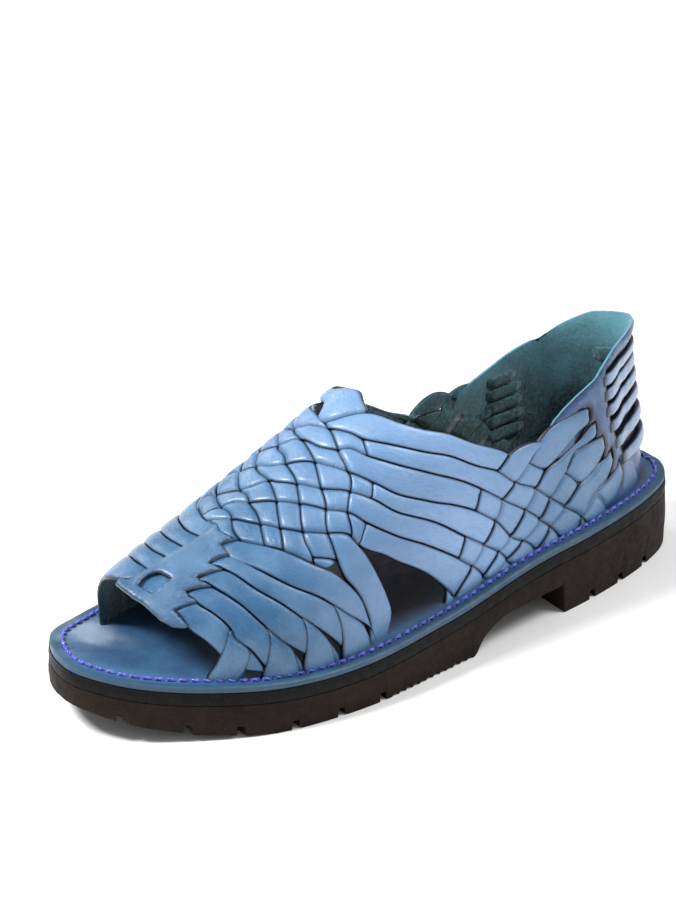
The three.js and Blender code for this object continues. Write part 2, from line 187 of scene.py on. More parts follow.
def sole_layer(toes, inset, over, under, side=(0,)):
    """A layer between two heights, as points and faces. side moves rows of its wall in or out."""
    rim = edge_round(toes)
    middle = np.stack([np.full(len(rim), SPINE_X), np.clip(rim[:, 1], *SPINE)], 1)
    reach = np.linalg.norm(rim - middle, axis=1)
    rim = middle + (rim - middle) * ((reach - inset) / reach)[:, None]
    rings = []

    def ring(depth, height, out=0):
        flat = rim + (middle - rim) * depth
        flat = flat + (rim - middle) / reach[:, None] * out
        inward = depth * reach
        z = height(flat[:, 0], flat[:, 1], inward)
        return np.stack([flat[:, 0] + AXIS_X, flat[:, 1] - LENGTH / 2, z], 1)

    for depth in DEPTHS[::-1]:
        rings.append(ring(depth, over))
    top, bottom = rings[-1][:, 2], ring(0, under)[:, 2]
    for i, out in enumerate(side):
        share = (i + 1) / (len(side) + 1)
        rings.append(ring(0, lambda *_: top + (bottom - top) * share, out))
    for depth in DEPTHS:
        rings.append(ring(depth, under))
    wide = len(rim)
    a = np.arange(wide)
    b = (a + 1) % wide
    faces = [np.stack([r * wide + a, r * wide + b, (r + 1) * wide + b, (r + 1) * wide + a], 1)
             for r in range(len(rings) - 1)]
    return np.vstack(rings), np.vstack(faces).tolist()


def rubber_top(toe):
    return fair(RUBBER_TOP, toe)


def tread(x, toe, inward):
    """Underside of the outsole: toe spring, flat tread, waist, heel, and the moulded lugs."""
    back = 3 * np.clip((toe - 276) / 14, 0, 1) ** 2
    z = np.where(toe < BREAST, fair(WAIST, toe), back)
    z = np.where(toe < WAIST[0][0], fair(TREAD_FRONT, toe), z)
    for g in LUG_GROOVES:
        groove = np.clip((GROOVE_HALF - np.abs(toe - g)) / GROOVE_FLANK, 0, 1)
        z = z + GROOVE_DEEP * groove * (inward < GROOVE_IN)
    for g, deep in LUG_TEETH:
        z = z + deep * np.clip(1.6 - np.abs(toe - g), 0, 1) * (inward < TEETH_IN) * (x > 0)
    return z


def chart(r, g, b):
    """Colour given as on a paint chart (0 to 255)."""
    return [((c / 255 + 0.055) / 1.055) ** 2.4 if c > 10 else c / 255 / 12.92 for c in (r, g, b)] + [1]


class Paint:
    """A material and the nodes put on it."""

    def __init__(self, name, **settings):
        self.material = bpy.data.materials.new(name)
        self.material.use_nodes = True
        self.tree = self.material.node_tree
        self.base = self.tree.nodes["Principled BSDF"]
        self.set(self.base, settings)
        self.place = self.add("TexCoord").outputs["Object"]

    def set(self, node, inputs):
        for key, value in inputs.items():
            socket = node.inputs[key.replace("_", " ") if isinstance(key, str) else key]
            if isinstance(value, bpy.types.NodeSocket):
                self.tree.links.new(value, socket)
            else:
                socket.default_value = value

    def add(self, kind, inputs=None, **settings):
        node = self.tree.nodes.new("ShaderNode" + kind)
        for key, value in settings.items():
            setattr(node, key, value)
        self.set(node, inputs or {})
        return node

    def stretch(self, where, scale):
        return self.add("Mapping", {"Vector": where, "Scale": scale}).outputs["Vector"]

    def axes(self, where=None):
        return self.add("SeparateXYZ", {"Vector": where or self.place}).outputs

    def noise(self, scale, detail=4, rough=0.5, where=None):
        inputs = {"Vector": where or self.place, "Scale": scale, "Detail": detail, "Roughness": rough}
        return self.add("TexNoise", inputs).outputs["Fac"]

    def attribute(self, name, output="Fac"):
        return self.add("Attribute", attribute_name=name).outputs[output]

    def math(self, kind, a, b=0.0):
        return self.add("Math", {0: a, 1: b}, operation=kind).outputs[0]

    def remap(self, value, low, high, to_low=0.0, to_high=1.0):
        inputs = {0: value, 1: low, 2: high, 3: to_low, 4: to_high}
        return self.add("MapRange", inputs).outputs[0]

    def mix(self, share, a, b):
        node = self.add("Mix", data_type="RGBA")
        self.set(node, {0: share, 6: a, 7: b})
        return node.outputs[2]

    def bump(self, height, strength, deep, normal=None):
        inputs = {"Strength": strength, "Distance": deep, "Height": height}
        if normal is not None:
            inputs["Normal"] = normal
        return self.add("Bump", inputs).outputs["Normal"]

    def finish(self, colour, normal, rough=None):
        self.set(self.base, {"Base Color": colour, "Normal": normal})
        if rough is not None:
            self.set(self.base, {"Roughness": rough})
        return self.material


def rubber(name, dark, light, roughness):
    paint = Paint(name, IOR=1.45, Specular_IOR_Level=0.14)
    cloud = paint.remap(paint.noise(45, 5, 0.6), 0.35, 0.7)
    dust = paint.remap(paint.noise(1400, 2), 0.62, 0.74)
    colour = paint.mix(cloud, chart(*dark), chart(*light))
    colour = paint.mix(paint.math("MULTIPLY", dust, 0.2), colour, chart(96, 84, 76))
    rough = paint.remap(paint.noise(300), 0.3, 0.7, roughness - 0.1, roughness + 0.12)
    pores = paint.bump(paint.noise(900, 3), 0.25, 0.0004)
    swell = paint.bump(paint.noise(90, 3), 0.3, 0.0012, pores)
    return paint.finish(colour, swell, rough)


outsole_rubber = rubber("outsole_rubber", (22, 15, 12), (34, 25, 20), 0.6)
lug_rows = stations([*LUG_GROOVES, *[g for g, _ in LUG_TEETH], BREAST])
points, faces = sole_layer(
    lug_rows, 0,
    lambda x, toe, inward: rubber_top(toe) - MIDSOLE_THICK - GAP,
    tread, side=(0.15, 0.35, 0.35, 0.1),
)
solid("outsole", points, faces, [outsole_rubber], ["outsole"], sharp=30)


# --- Midsole ---
# A darker sheet of dense rubber, cut to the sole's outline and glued between the outsole and
# the leather. It shows as a black stripe all round the edge.
midsole_rubber = rubber("midsole_rubber", (6, 6, 7), (13, 13, 15), 0.5)
points, faces = sole_layer(
    stations(), 0.1,
    lambda x, toe, inward: rubber_top(toe),
    lambda x, toe, inward: rubber_top(toe) - MIDSOLE_THICK,
    side=(0.1, 0.25, 0.1),
)
solid("midsole", points, faces, [midsole_rubber], ["midsole"])


# --- Insole ---
# Thick dyed leather that the foot stands on. Its cut edge is stained teal, and it is pressed
# down a little along the seam that holds it to the midsole.
INSOLE_THICK = 2.7
SEAM_IN = [(0, 5.6), (30, 5.4), (62, 4.3), (290, 4.3)]


def insole_top(toe):
    return rubber_top(toe) + GAP + INSOLE_THICK


def insole_face(x, toe, inward):
    rolled = 0.7 * np.clip(1 - inward / 1.6, 0, 1) ** 2
    pressed = 0.35 * np.exp(-((inward - fair(SEAM_IN, toe)) / 1.3) ** 2)
    dish = 0.8 * np.clip((inward - 8) / 30, 0, 1) ** 2
    return insole_top(toe) - rolled - pressed - dish


leather = Paint("insole_leather", Roughness=0.45, IOR=1.5, Coat_Weight=0.12, Coat_Roughness=0.3)
cloud = leather.remap(leather.noise(22, 5, 0.6), 0.3, 0.72)
fine = leather.remap(leather.noise(160, 4, 0.6), 0.35, 0.7)
blue = leather.mix(cloud, chart(36, 72, 110), chart(76, 116, 154))
blue = leather.mix(leather.math("MULTIPLY", fine, 0.35), blue, chart(26, 48, 84))
# Pale under the big toe: rubbed wear, and a painted sheen standing in for the gloss there.
toe_wear_and_sheen = leather.remap(leather.axes()["Y"], -0.104, -0.116)
side_wear_and_sheen = leather.remap(leather.axes()["X"], -0.004, -0.017)
wear_and_sheen = leather.math("MULTIPLY", toe_wear_and_sheen, side_wear_and_sheen)
wear_and_sheen = leather.math("MULTIPLY", wear_and_sheen, leather.remap(leather.noise(45), 0.36, 0.56))
blue = leather.mix(leather.math("MULTIPLY", wear_and_sheen, 0.9), blue, chart(142, 162, 184))
# The dye leaves the middle brown from the ball of the foot to the heel.
undyed = leather.math("MULTIPLY", leather.attribute("undyed"), leather.remap(cloud, 0, 1, 0.8, 1))
blue = leather.mix(undyed, blue, leather.mix(fine, chart(26, 17, 18), chart(54, 37, 33)))
rim = leather.math("MULTIPLY", leather.attribute("rim"), 0.9)
blue = leather.mix(rim, blue, chart(9, 58, 84))
grain = leather.bump(leather.noise(700, 3), 0.22, 0.0003)
insole_leather = leather.finish(blue, leather.bump(fine, 0.25, 0.0005, grain),
                                leather.remap(fine, 0, 1, 0.34, 0.6))
toes = stations()
points, faces = sole_layer(
    toes, 0.4, insole_face,
    lambda x, toe, inward: rubber_top(toe) + GAP,
    side=(0, 0.1, 0),
)
# Rings of points are counted from the middle of the top face out to its edge, then down.
ring_index = np.arange(len(points)) // (2 * len(toes) - 2)
edge_ring = len(DEPTHS) - 1
rim_mark = np.zeros(len(points))
rim_mark[(ring_index >= edge_ring) & (ring_index <= edge_ring + 4)] = 1
for inner_rings, share in ((1, 0.9), (2, 0.75), (3, 0.5)):
    rim_mark[ring_index == edge_ring - inner_rings] = share
from_edge = DEPTHS[np.clip(edge_ring - ring_index, 0, edge_ring)]
from_toe = points[:, 1] + LENGTH / 2
undyed_mark = np.clip((from_edge - 0.14) / 0.14, 0, 1) * np.clip((from_toe - 44) / 30, 0, 1)
solid("insole", points, faces, [insole_leather], ["insole"],
      marks={"rim": rim_mark, "undyed": undyed_mark})


# --- Sole stitching ---
# Thick royal blue waxed thread, sewn through the insole round its whole edge. Each stitch
# shows as a short twist of two plies that dives at both ends.
STITCH = 4.6
STITCH_GAP = 0.06
PLY_RADIUS = 0.5
RINGS = 11
SIDES = 6


def walk(line, long, at):
    """Places at given lengths along a line."""
    return np.stack([np.interp(at, long, line[:, 0]), np.interp(at, long, line[:, 1])], 1)


def tube_faces(start, rows, wide):
    """Faces of a tube of rows of points, numbered from start, with both ends closed."""
    faces = []
    for r in range(rows - 1):
        for c in range(wide):
            a, b = start + r * wide + c, start + r * wide + (c + 1) % wide
            faces.append([a, b, b + wide, a + wide])
    ends = start, start + (rows - 1) * wide
    return faces + [list(range(first, first + wide)) for first in ends]


thread = Paint("waxed_thread", Roughness=0.38, IOR=1.5, Sheen_Weight=0.2, Coat_Weight=0.2)
shade = thread.remap(thread.noise(420, 3), 0.3, 0.7)
waxed_thread = thread.finish(thread.mix(shade, chart(40, 48, 150), chart(104, 112, 226)),
                             thread.bump(thread.noise(2600, 2), 0.3, 0.0002))
edge = edge_round(toes)
tangent = np.roll(edge, -3, 0) - np.roll(edge, 3, 0)
tangent /= np.linalg.norm(tangent, axis=1)[:, None]
seam = edge + np.stack([-tangent[:, 1], tangent[:, 0]], 1) * fair(SEAM_IN, edge[:, 1])[:, None]
seam = np.vstack([seam, seam[:1]])
seam_long = length_to(seam)
count = int(seam_long[-1] / STITCH)
share = np.linspace(0, 1, RINGS)
points, faces = [], []
for i in range(count):
    for ply in (0, 1):
        at = (i + STITCH_GAP + (1 - 2 * STITCH_GAP) * share) * seam_long[-1] / count
        flat = walk(seam, seam_long, at)
        ahead = np.gradient(flat, axis=0)
        ahead /= np.linalg.norm(ahead, axis=1)[:, None]
        across = np.stack([-ahead[:, 1], ahead[:, 0]], 1)
        turn = np.pi * (1.5 * share + ply) + 0.5
        lift = 0.75 * np.sin(np.pi * share) ** 0.5 - 0.25
        centre = np.column_stack([flat, insole_top(flat[:, 1]) + lift])
        centre[:, :2] += across * (0.36 * np.cos(turn))[:, None]
        centre[:, 2] += 0.3 * np.sin(turn)
        faces += tube_faces(len(points), RINGS, SIDES)
        for j in range(RINGS):
            radius = PLY_RADIUS * (0.35 + 0.65 * math.sin(math.pi * share[j]) ** 0.6)
            for k in range(SIDES):
                a = math.tau * k / SIDES
                side = across[j] * (radius * math.cos(a))
                points.append(centre[j] + [side[0], side[1], radius * math.sin(a)])
points = np.array(points) + [AXIS_X, -LENGTH / 2, 0]
solid("sole_stitching", points, faces, [waxed_thread], sharp=180)


# --- The last ---
# The foot form that every strap is pulled tight over. A place on it is (along, angle): along
# runs round the foot of the upper from the toe by the lateral side in millimetres, and angle
# climbs from the insole (0) over the ridge (90) to the insole on the medial side (180).
ROUNDNESS = 2.15
BELLY = 0.05
RIDGE = [(0, -1), (20, -2), (45, -3.5), (70, -4.5), (95, -5), (120, -6), (145, -6), (172, -5.5),
         (200, -5), (240, -4), (290, -4)]
RISE = [(0, 24), (20, 29), (45, 37.5), (70, 46), (95, 59), (120, 73), (145, 86.5), (172, 98),
        (200, 105), (240, 106), (290, 104)]
# The heel wall leans by its height, and has a waist between the heel seat and the top edge.
# The waist pulls the wall forward and, on the sides, inward.
HEEL_BACK = [(0, 0), (12, 2), (25, 2.4), (45, 0.2), (60, -3), (80, -8)]
HEEL_WAIST = [(3, 0), (12, 0.4), (24, 0.8), (33, 1), (50, 1), (60, 0.65), (67, 0.2), (80, 0.2)]
HEEL_SHORT = [(240, 0), (252, 1.6), (264, 4), (276, 5.8), (290, 6)]
HEEL_SLIM = [(240, 0), (250, 1.7), (257, 3.3), (264, 4.7), (270, 4.7), (276, 3.3), (280, 1.7),
             (283.5, 0)]
FOOT_ROWS = [
    (12, 15, 13.5), (26, 25, 24), (44, 33, 32), (62, 41.5, 38.5), (80, 45.5, 41.5),
    (100, 45.5, 41), (129, 42, 35), (160, 38, 28.5), (191, 35.5, 27), (214, 33, 29),
    (236, 28.5, 30.5), (257, 21.5, 27.5), (274, 12, 19.5),
]
foot_line, foot_long = outline(FOOT_ROWS, (0, 4), (-4, 283.5))
foot_turn = int(np.argmax(foot_line[:, 1]))
HEEL_ALONG = foot_long[foot_turn]
lateral_long = foot_long[:foot_turn + 1]
lateral_line = foot_line[:foot_turn + 1]
medial_line = foot_line[foot_turn:][::-1]


def last_point(along, angle):
    """A point of the last in millimetres. Past the heel the line runs on up the medial side."""
    past = along > HEEL_ALONG
    along = np.where(past, 2 * HEEL_ALONG - along, along)
    angle = np.where(past, 180 - angle, angle)
    toe = np.interp(along, lateral_long, lateral_line[:, 1])
    medial = angle > 90
    x = np.where(medial, np.interp(toe, medial_line[:, 1], medial_line[:, 0]),
                 np.interp(along, lateral_long, lateral_line[:, 0]))
    below = np.minimum(angle, 180 - angle)
    turn = np.radians(np.clip(below, 0, 90))
    ridge = fair(RIDGE, toe)
    inward = np.cos(turn) ** (2 / ROUNDNESS) + BELLY * np.sin(2 * turn)
    up = fair(RISE, toe) * np.sin(turn) ** (2 / ROUNDNESS) + 0.3 * np.minimum(below, 0)
    lean = np.clip((toe - 215) / 65, 0, 1)
    lean = lean * lean * (3 - 2 * lean)
    waist = fair(HEEL_WAIST, up)
    x = x - np.where(medial, -0.5, 1) * waist * fair(HEEL_SLIM, toe)
    y = toe + lean * fair(HEEL_BACK, up) - waist * fair(HEEL_SHORT, toe) - LENGTH / 2
    return np.stack([ridge + (x - ridge) * inward + AXIS_X, y, insole_top(toe) + up], -1)


def skin(along, angle, off):
    """A point held off the last along its normal."""
    along, angle = np.asarray(along, float), np.asarray(angle, float)
    low, high = np.clip(angle - 0.8, 0.3, 178.4), np.clip(angle + 0.8, 1.6, 179.7)
    climb = last_point(along, high) - last_point(along, low)
    mid = np.clip(angle, 1, 179)
    run = last_point(along + 0.8, mid) - last_point(along - 0.8, mid)
    normal = np.cross(run, climb)
    normal /= np.linalg.norm(normal, axis=-1)[..., None]
    return last_point(along, angle) + normal * np.asarray(off)[..., None]


# --- Leather of the straps ---
# Vegetable-tanned straps, dyed blue and burnished: glossy, with drawn-out streaks along each
# strap, and almost black where the dye takes deep at an edge. The same near black is painted
# shade where a strap dips under another, at tucked-in ends, and by slits and recesses, and pale
# flecks on the cracked wax are painted glints. The back is raw teal suede.
STRAP_SCALE = (0.09, 1.7, 3.1)


def strap_leather(name, front, back, gloss):
    paint = Paint(name, IOR=1.5, Coat_Weight=0.28, Coat_Roughness=0.2)
    lay = paint.attribute("lay", "Vector")
    streak = paint.noise(3.0, 6, 0.65, paint.stretch(lay, STRAP_SCALE))
    crackle_and_glints = paint.noise(5.0, 3, 0.6, paint.stretch(lay, (0.8, 4.0, 5.0)))
    cloud = paint.noise(55, 4, 0.55)
    from_toe = paint.axes()["Y"]
    rearward = paint.remap(from_toe, -0.07, 0.015)
    colour = paint.mix(rearward, chart(*front), chart(*back))
    heelward = paint.remap(from_toe, 0.028, 0.072, 0, 0.75)
    colour = paint.mix(heelward, colour, chart(*front))
    tone = paint.remap(paint.axes(lay)["Z"], 0, 1, 0, 0.22)
    colour = paint.mix(tone, colour, chart(52, 96, 146))
    colour = paint.mix(paint.remap(cloud, 0.4, 0.7, 0, 0.35), colour, chart(122, 160, 194))
    colour = paint.mix(paint.remap(streak, 0.45, 0.68, 0, 0.3), colour, chart(50, 88, 136))
    # Pale flecks on the cracked wax: painted glints of light.
    colour = paint.mix(paint.remap(crackle_and_glints, 0.58, 0.7, 0, 0.4), colour, chart(180, 204, 230))
    dye_and_shade = paint.attribute("dye_and_shade")
    # Near black along the dyed edges, and painted shade at dives, tucked ends, slits and recesses.
    colour = paint.mix(paint.remap(dye_and_shade, 0.1, 0.9), colour, chart(7, 17, 34))
    rough = paint.remap(streak, 0.3, 0.7, gloss - 0.07, gloss + 0.14)
    pores = paint.bump(paint.noise(1100, 2), 0.12, 0.0003)
    creases = paint.bump(crackle_and_glints, 0.3, 0.0005, pores)
    return paint.finish(colour, paint.bump(streak, 0.22, 0.0007, creases), rough)


def suede(name, deep, pale):
    paint = Paint(name, Roughness=0.92, IOR=1.4, Sheen_Weight=0.35, Sheen_Roughness=0.5)
    nap = paint.noise(620, 5, 0.7)
    cloud = paint.noise(60, 4, 0.6)
    # Paler towards the top and darker low down: painted light on the upper edges and painted shade deep
    # inside the shoe.
    painted_light_upward = paint.remap(paint.axes()["Z"], 0.055, 0.1)
    share = paint.math("ADD", paint.remap(cloud, 0.3, 0.7, -0.2, 0.35), painted_light_upward)
    colour = paint.mix(paint.remap(share, 0, 1), chart(*deep), chart(*pale))
    colour = paint.mix(paint.remap(nap, 0.45, 0.75, 0, 0.5), colour, chart(112, 160, 168))
    return paint.finish(colour, paint.bump(nap, 0.5, 0.0009))


blue_leather = strap_leather("strap_leather", (26, 82, 120), (124, 160, 204), 0.27)
teal_suede = suede("strap_suede", (28, 56, 62), (52, 92, 100))


# --- Woven straps ---
# Two sets of flat straps cross over the foot in a plain weave. One set climbs from the insole
# behind the ankle, runs forward over the ridge and down the other side; the other mirrors it.
STRAP_THICK = 1.8
SET_IN = 0.18
# Where it is crossed a strap dives this deep. It starts before the other's edge and is down
# after it, and a share of the dive is drawn out over a longer reach, as stiff leather bends.
DIVE = 1.95
DIVE_BEFORE = 1.3
DIVE_AFTER = 0.7
SLOW_SHARE = 0.26
SLOW_REACH = 2.6
STEP = 0.8
# Laid flat, a degree of angle counts as 1.25 mm.
FLAT = np.array([1, 1.25])
# Section of a strap: places across its width, their heights, and how dark the dye stands there.
# The first 13 lie on its top face.
ACROSS = np.array([-1, -0.94, -0.82, -0.64, -0.43, -0.21, 0, 0.21, 0.43, 0.64, 0.82, 0.94, 1,
                   1.04, 0.35, -0.35, -1.04])
PROFILE = np.array([-0.85, -0.3, -0.04, 0.12, 0.22, 0.28, 0.3, 0.28, 0.22, 0.12, -0.04, -0.3, -0.85,
                    *4 * [-STRAP_THICK]])
EDGE_INK = np.array([1, 0.5, 0.08, 0, 0, 0, 0, 0, 0, 0, 0.08, 0.5, 1, 1, 1, 1, 1])
TOP = 13


def draw_edge(line, count):
    """A strap's edge through its marked places, as evenly spaced places on the last."""
    dense, long = spline(np.array(line, float) * FLAT, steps=16)
    return walk(dense, long, np.linspace(0, long[-1], count)) / FLAT


def line_length(line):
    return spline(np.array(line, float) * FLAT, steps=8)[1][-1]


def inside(places, polygon):
    """Which places lie inside a polygon on the last."""
    x, y = places[..., 0], places[..., 1]
    hit = np.zeros(x.shape, bool)
    for (x0, y0), (x1, y1) in zip(polygon, np.roll(polygon, -1, 0)):
        crosses = (y0 > y) != (y1 > y)
        rise = y1 - y0 if y1 != y0 else 1e-9
        hit ^= crosses & (x < (x1 - x0) * (y - y0) / rise + x0)
    return hit


def gap_to(points, corners):
    """How far flat points lie from the sides of a polygon."""
    gap = np.full(points.shape[:-1], 1e9)
    for p, q in zip(corners, np.roll(corners, -1, 0)):
        d = q - p
        t = np.clip(((points - p) @ d) / max(d @ d, 1e-9), 0, 1)
        gap = np.minimum(gap, np.linalg.norm(points - p - t[..., None] * d, axis=-1))
    return gap


def cover(places, polygon):
    """How much a crossing strap covers each place: 0 clear of it, 1 under it, soft at its edge."""
    gap = gap_to(places * FLAT, np.asarray(polygon) * FLAT)
    signed = np.where(inside(places, polygon), gap, -gap)
    share = np.clip((signed + DIVE_BEFORE) / (DIVE_BEFORE + DIVE_AFTER), 0, 1)
    return share * share * (3 - 2 * share)


class Strap:
    """One flat strap between two edges, each a list of (along, angle) from end to end.

    Where it is crossed it dives under. reach is how far from each end it starts to sink by dip.
    """

    def __init__(self, left, right, crossed=(), lift=0.0, tone=0.5, reach=(0, 0), dip=DIVE):
        self.count = max(8, int(max(line_length(left), line_length(right)) / STEP))
        self.left, self.right = draw_edge(left, self.count), draw_edge(right, self.count)
        self.tone, self.lift = tone, lift
        self.over = list(crossed)
        self.bumps = []
        self.reach, self.dip = reach, dip

    def polygon(self):
        return np.vstack([self.left[::3], self.left[-1:], self.right[::-3], self.right[:1]])

    def build(self):
        middle, half = (self.left + self.right) / 2, (self.right - self.left) / 2
        ground = np.zeros(self.count)
        width = np.linalg.norm(skin(*self.right.T, ground) - skin(*self.left.T, ground), axis=1)
        share = np.clip(1 - 2 * SET_IN / np.maximum(width, 0.5), 0.2, 1)
        places = middle[:, None] + half[:, None] * (ACROSS[None, :, None] * share[:, None, None])
        under = np.zeros(places.shape[:2])
        for polygon in self.over:
            under = np.maximum(under, cover(places, polygon))
        level = (1 - SLOW_SHARE) * under + SLOW_SHARE * blur(under, SLOW_REACH / STEP)
        long = length_to(middle * FLAT)
        tips = np.zeros((self.count, 1))
        for reach, gone in zip(self.reach, (long, long[-1] - long)):
            if reach:
                tips = np.maximum(tips, np.clip(1 - gone / reach, 0, 1)[:, None] ** 0.7)
        sunk = DIVE * level
        sunk = np.maximum(sunk, self.dip * tips) if self.dip > 0 else sunk + self.dip * tips
        narrow = np.clip(width / 7, 0.35, 1)[:, None]
        off = self.lift - sunk + PROFILE * np.where(PROFILE > -STRAP_THICK, narrow, 1)
        for along, angle, reach, high in self.bumps:
            gap = (places - [along, angle]) * FLAT / reach
            off = off + high * np.exp(-(gap**2).sum(-1))
        points = skin(places[..., 0], places[..., 1], off)
        # Edges stay dark with dye. Where a strap dives under another or tucks in at an end it is darkened
        # too: painted shade.
        level = np.maximum(level, tips)
        dye_and_shade = np.clip(EDGE_INK + 0.85 * np.clip((level - 0.3) / 0.5, 0, 1), 0, 1)
        lay = np.stack([np.broadcast_to(long[:, None], dye_and_shade.shape) + 37 * self.tone,
                        ACROSS * width[:, None] / 10,
                        np.full(dye_and_shade.shape, self.tone)], -1)
        return points, dye_and_shade, lay


def blur(field, sigma):
    reach = max(1, int(3 * sigma))
    kernel = np.exp(-0.5 * (np.arange(-reach, reach + 1) / sigma) ** 2)
    kernel /= kernel.sum()
    padded = np.concatenate([field[:1].repeat(reach, 0), field, field[-1:].repeat(reach, 0)])
    return sum(k * padded[i:i + len(field)] for i, k in enumerate(kernel))


def weave_piece(name, straps, stands_for=(), paints=None):
    """Straps that belong together as one piece: leather on top and edges, suede below."""
    all_points, all_dye_and_shade, all_lay, faces, index = [], [], [], [], []
    start, wide = 0, len(ACROSS)
    round_it = [0 if c < TOP or c == wide - 1 else 1 for c in range(wide)]
    for strap in straps:
        points, dye_and_shade, lay = strap.build()
        all_points.append(points.reshape(-1, 3))
        all_dye_and_shade.append(dye_and_shade.ravel())
        all_lay.append(lay.reshape(-1, 3))
        faces += tube_faces(start, len(points), wide)
        index += round_it * (len(points) - 1) + [1, 1]
        start += dye_and_shade.size
    marks = {"dye_and_shade": np.concatenate(all_dye_and_shade), "lay": np.vstack(all_lay)}
    return solid(name, np.vstack(all_points), faces, paints or [blue_leather, teal_suede],
                 stands_for, index, marks, sharp=180)


def mirror(line):
    """The same line on the medial side."""
    return [(along, 180 - angle) for along, angle in line]


# Lines between neighbouring straps on the lateral side, from the ridge down. Row lines run
# back to the insole behind the ankle, column lines run forward to the fan straps.
ROWS = [
    [(138, 83), (142, 80), (148, 74), (156, 61), (164, 52), (174, 44), (184, 36), (196, 29), (201, 26),
     (210, 21), (219, 17), (230, 14), (241, 8), (251, 4), (259, -1), (267, -7)],
    [(135, 82), (139, 73), (142, 66), (152, 54), (162, 45), (172, 38), (183, 30), (194, 24), (203, 18),
     (213, 14), (221, 10), (230, 6), (240, 2), (248, -3), (254, -7)],
    [(128, 79), (132, 72), (136, 68), (140, 60), (150, 48), (162, 38), (177, 28), (196, 16), (208, 10),
     (216, 6), (224, 2), (230, -2), (238, -7)],
    [(116, 86), (122, 78), (126, 70), (131, 61), (138, 50), (146, 40), (160, 30), (171, 24), (182, 18),
     (192, 12), (200, 6), (210, 2), (215, -1), (223, -7)],
    [(109, 83), (114, 74), (120, 64), (127, 56), (135, 46), (144, 35), (163, 22), (175, 14), (186, 8),
     (194, 4), (200, 0), (210, -7)],
    [(98, 84), (104, 76), (110, 67), (116, 58), (124, 49), (130, 40), (142, 28), (157, 18), (174, 8),
     (184, 2), (188, -1), (197, -7)],
    [(89, 84), (92, 77), (95, 72), (99, 65), (104, 58), (112, 50), (121, 42), (125, 34), (134, 26),
     (141, 20), (156, 10), (170, 0), (180, -7)],
    [(82, 80), (86, 70), (94, 58), (101, 48), (112, 38), (117, 33)],
]
COLUMNS = [
    [(150, 80), (148, 74), (142, 68), (140, 60), (139, 54), (136, 48), (131, 42), (124, 36)],
    [(135, 84), (132, 72), (131, 64), (130, 58), (124, 50), (122, 41)],
    [(127, 96), (126, 88), (125, 84), (123, 76), (120, 68), (117, 58), (114, 52), (113, 44)],
    [(119, 96), (118, 89), (116, 86), (114, 77), (110, 68), (106, 60), (104, 52), (104, 45)],
    [(110, 100), (108, 92), (108, 88), (107, 84), (104, 76), (101, 70), (96, 58)],
    [(99, 93), (99, 88), (97, 84), (96, 78), (94, 72), (91, 64)],
    [(90, 94), (90, 87), (86, 80), (85, 74)],
    [(83, 98), (82, 87), (82, 82), (83, 75)],
]
# How each row line goes on over the ridge, until the straps of the far fan hide it.
OVER = [
    [(135, 87), (136, 96), (140, 104), (142, 112), (140, 120), (139, 126), (136, 132), (131, 138),
     (124, 144)],
    [(132, 90), (129, 97), (128, 106), (129, 116), (129, 122), (124, 130), (122, 139), (120, 144)],
    [(126, 89), (121, 97), (118, 104), (116, 112), (115, 122), (114, 128), (113, 136)],
    [(112, 91), (110, 99), (107, 105), (106, 112), (105, 120), (104, 128), (104, 135)],
    [(108, 86), (102, 90), (99, 94), (96, 100), (94, 106), (94, 114)],
    [(95, 89), (90, 94), (87, 97), (83, 99), (81, 104)],
    [(86, 88), (83, 92), (80, 96)],
    [(80, 84), (79, 90)],
]
# How each column strap goes on below the vamp: left and right edge.
TAILS = [
    ([(117, 34)], [(120, 29)]),
    ([(114, 30), (118, 22), (122, 13), (124, 7), (124, 0), (125, -7)],
     [(124, 36), (130, 21), (134, 12), (136, 6), (134, 0), (131, -7)]),
    ([(103, 38)], [(112, 37)]),
    ([(93, 50)], [(102, 39)]),
    ([(90, 57)], [(94, 50)]),
    ([(86, 66)], [(90, 57)]),
    ([(83, 69)], [(86, 67)]),
]

# Lines between the straps of the fan, which run from the slits of the toe plate back to the
# insole: on the lateral side, then on the medial side.
FAN = [
    [(46, 50), (49, 34), (54, 24), (58, 15)],
    [(53, 58), (56, 48), (60, 40), (64, 30), (65, 23), (70, 16), (74, 8)],
    [(61, 64), (65, 55), (71, 42), (76, 30), (82, 18), (90, 6)],
    [(69, 70), (74, 60), (79, 47), (86, 35), (94, 22), (108, 2)],
    [(78, 76), (77, 68), (84, 54), (92, 40), (102, 28), (112, 16), (124, 2)],
    [(84, 73), (90, 64), (94, 58), (103, 43), (110, 34), (114, 28), (120, 18), (124, 6)],
]
FAN_FAR = [
    [(40, 86), (37, 94), (36, 103), (36, 116), (38, 132), (39, 150), (41, 167), (42, 180), (43, 187)],
    [(48, 82), (48, 92), (49, 104), (54, 128), (57, 145), (60, 162), (61, 180), (61, 187)],
    [(58, 82), (57, 98), (61, 117), (67, 136), (73, 154), (78, 172), (80, 184)],
    [(67, 82), (66, 97), (70, 116), (77, 134), (86, 152), (95, 170), (99, 183)],
    [(76, 82), (74, 94), (79, 114), (88, 132), (98, 150), (110, 170), (115, 183)],
    [(84, 80), (82.5, 88), (83, 97), (85, 104), (88, 112), (94, 122), (103, 136), (110, 146),
     (116, 155), (121, 165), (125, 178), (128, 184)],
]
# The last strap of each fan hides the ends of the weave.
fan_roof = np.array(FAN[5] + FAN[4][:0:-1], float)
fan_roof_far = np.array([(83, 86), *FAN_FAR[5][2:9], (125, 178), *FAN_FAR[4][5:0:-1], (76, 85)], float)


def set_one_edges():
    """Edges of the straps that climb from the lateral insole, over the ridge, to the medial fan."""
    edges = []
    for i in range(1, 8):
        left = ROWS[i - 1][::-1] if i < 7 else [(124, 36), *ROWS[6][6::-1]]
        edges.append((left + OVER[i - 1], ROWS[i][::-1] + OVER[i]))
    return edges


